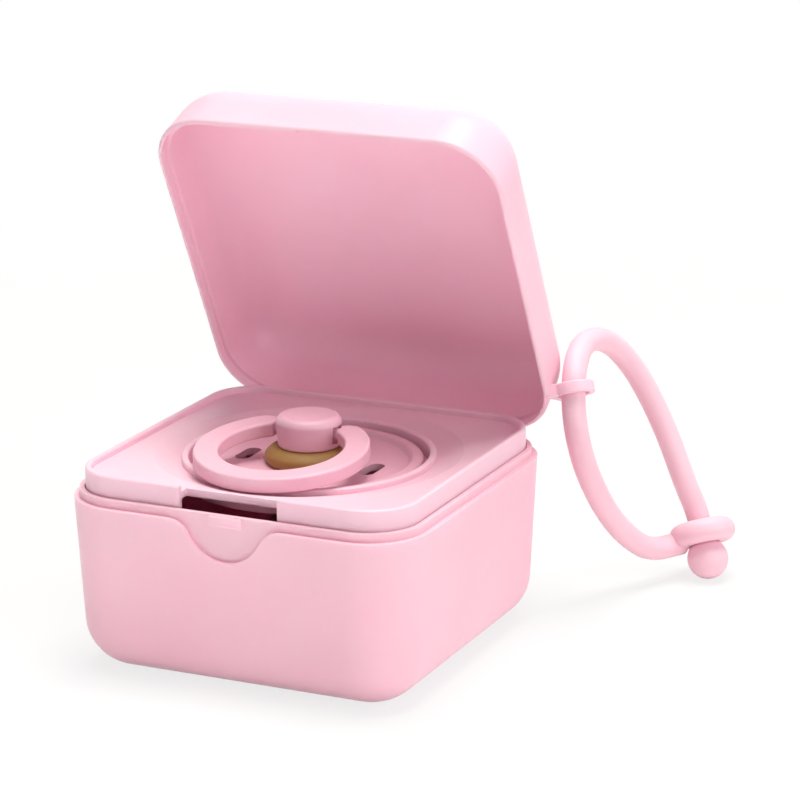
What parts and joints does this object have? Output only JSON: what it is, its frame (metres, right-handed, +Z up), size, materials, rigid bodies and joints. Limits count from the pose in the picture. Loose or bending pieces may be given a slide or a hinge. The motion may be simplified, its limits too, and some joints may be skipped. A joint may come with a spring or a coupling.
{
  "type": "pacifier case",
  "caption": "Rounded square travel case with a hinged domed lid, a lift-out tray that seats a pacifier, and a silicone strap through an eyelet on the lid.",
  "frame": {"origin": "the middle of the flat underside of the tub", "axes": "+Z up, the hinge at +Y, the thumb scoop at -Y, the strap's eyelet at +X"},
  "size_m": [0.1093, 0.1193, 0.1138],
  "materials": {
    "case_plastic": "satin moulded plastic",
    "pin_plastic": "plain moulded plastic",
    "pacifier_plastic": "satin moulded plastic",
    "latex": "smooth natural latex",
    "silicone": "soft matt silicone"
  },
  "bodies": {
    "base": {"base_tub": "case_plastic", "tray_insert": "case_plastic"},
    "lid": {"lid_shell": "case_plastic", "hinge_pin": "pin_plastic"},
    "strap": {"strap_cord": "silicone", "strap_eye": "silicone", "strap_ball": "silicone"},
    "pacifier": {"pacifier_shield": "pacifier_plastic", "pacifier_nipple": "latex", "pacifier_knob": "pacifier_plastic"},
    "ring": {"pacifier_ring": "pacifier_plastic"}
  },
  "joints": [
    {"name": "lid_hinge", "type": "hinge", "parent": "base", "child": "lid", "pos_m": [0, 0.041, 0.0378], "axis": [-1, 0, 0], "range_deg": [-63.6, 46.4]},
    {"name": "strap_swivel", "type": "hinge", "parent": "lid", "child": "strap", "pos_m": [0.0439, 0.03973, 0.05004], "axis": [0.1863, -0.5028, -0.8441], "range_deg": [0, 80]},
    {"name": "pacifier_turn", "type": "hinge", "parent": "base", "child": "pacifier", "pos_m": [0, 0, 0.03815], "axis": [0, 0, 1], "continuous": true},
    {"name": "ring_flip", "type": "hinge", "parent": "pacifier", "child": "ring", "pos_m": [0, 0, 0.04635], "axis": [-1, 0, 0], "range_deg": [0, 190]}
  ]
}
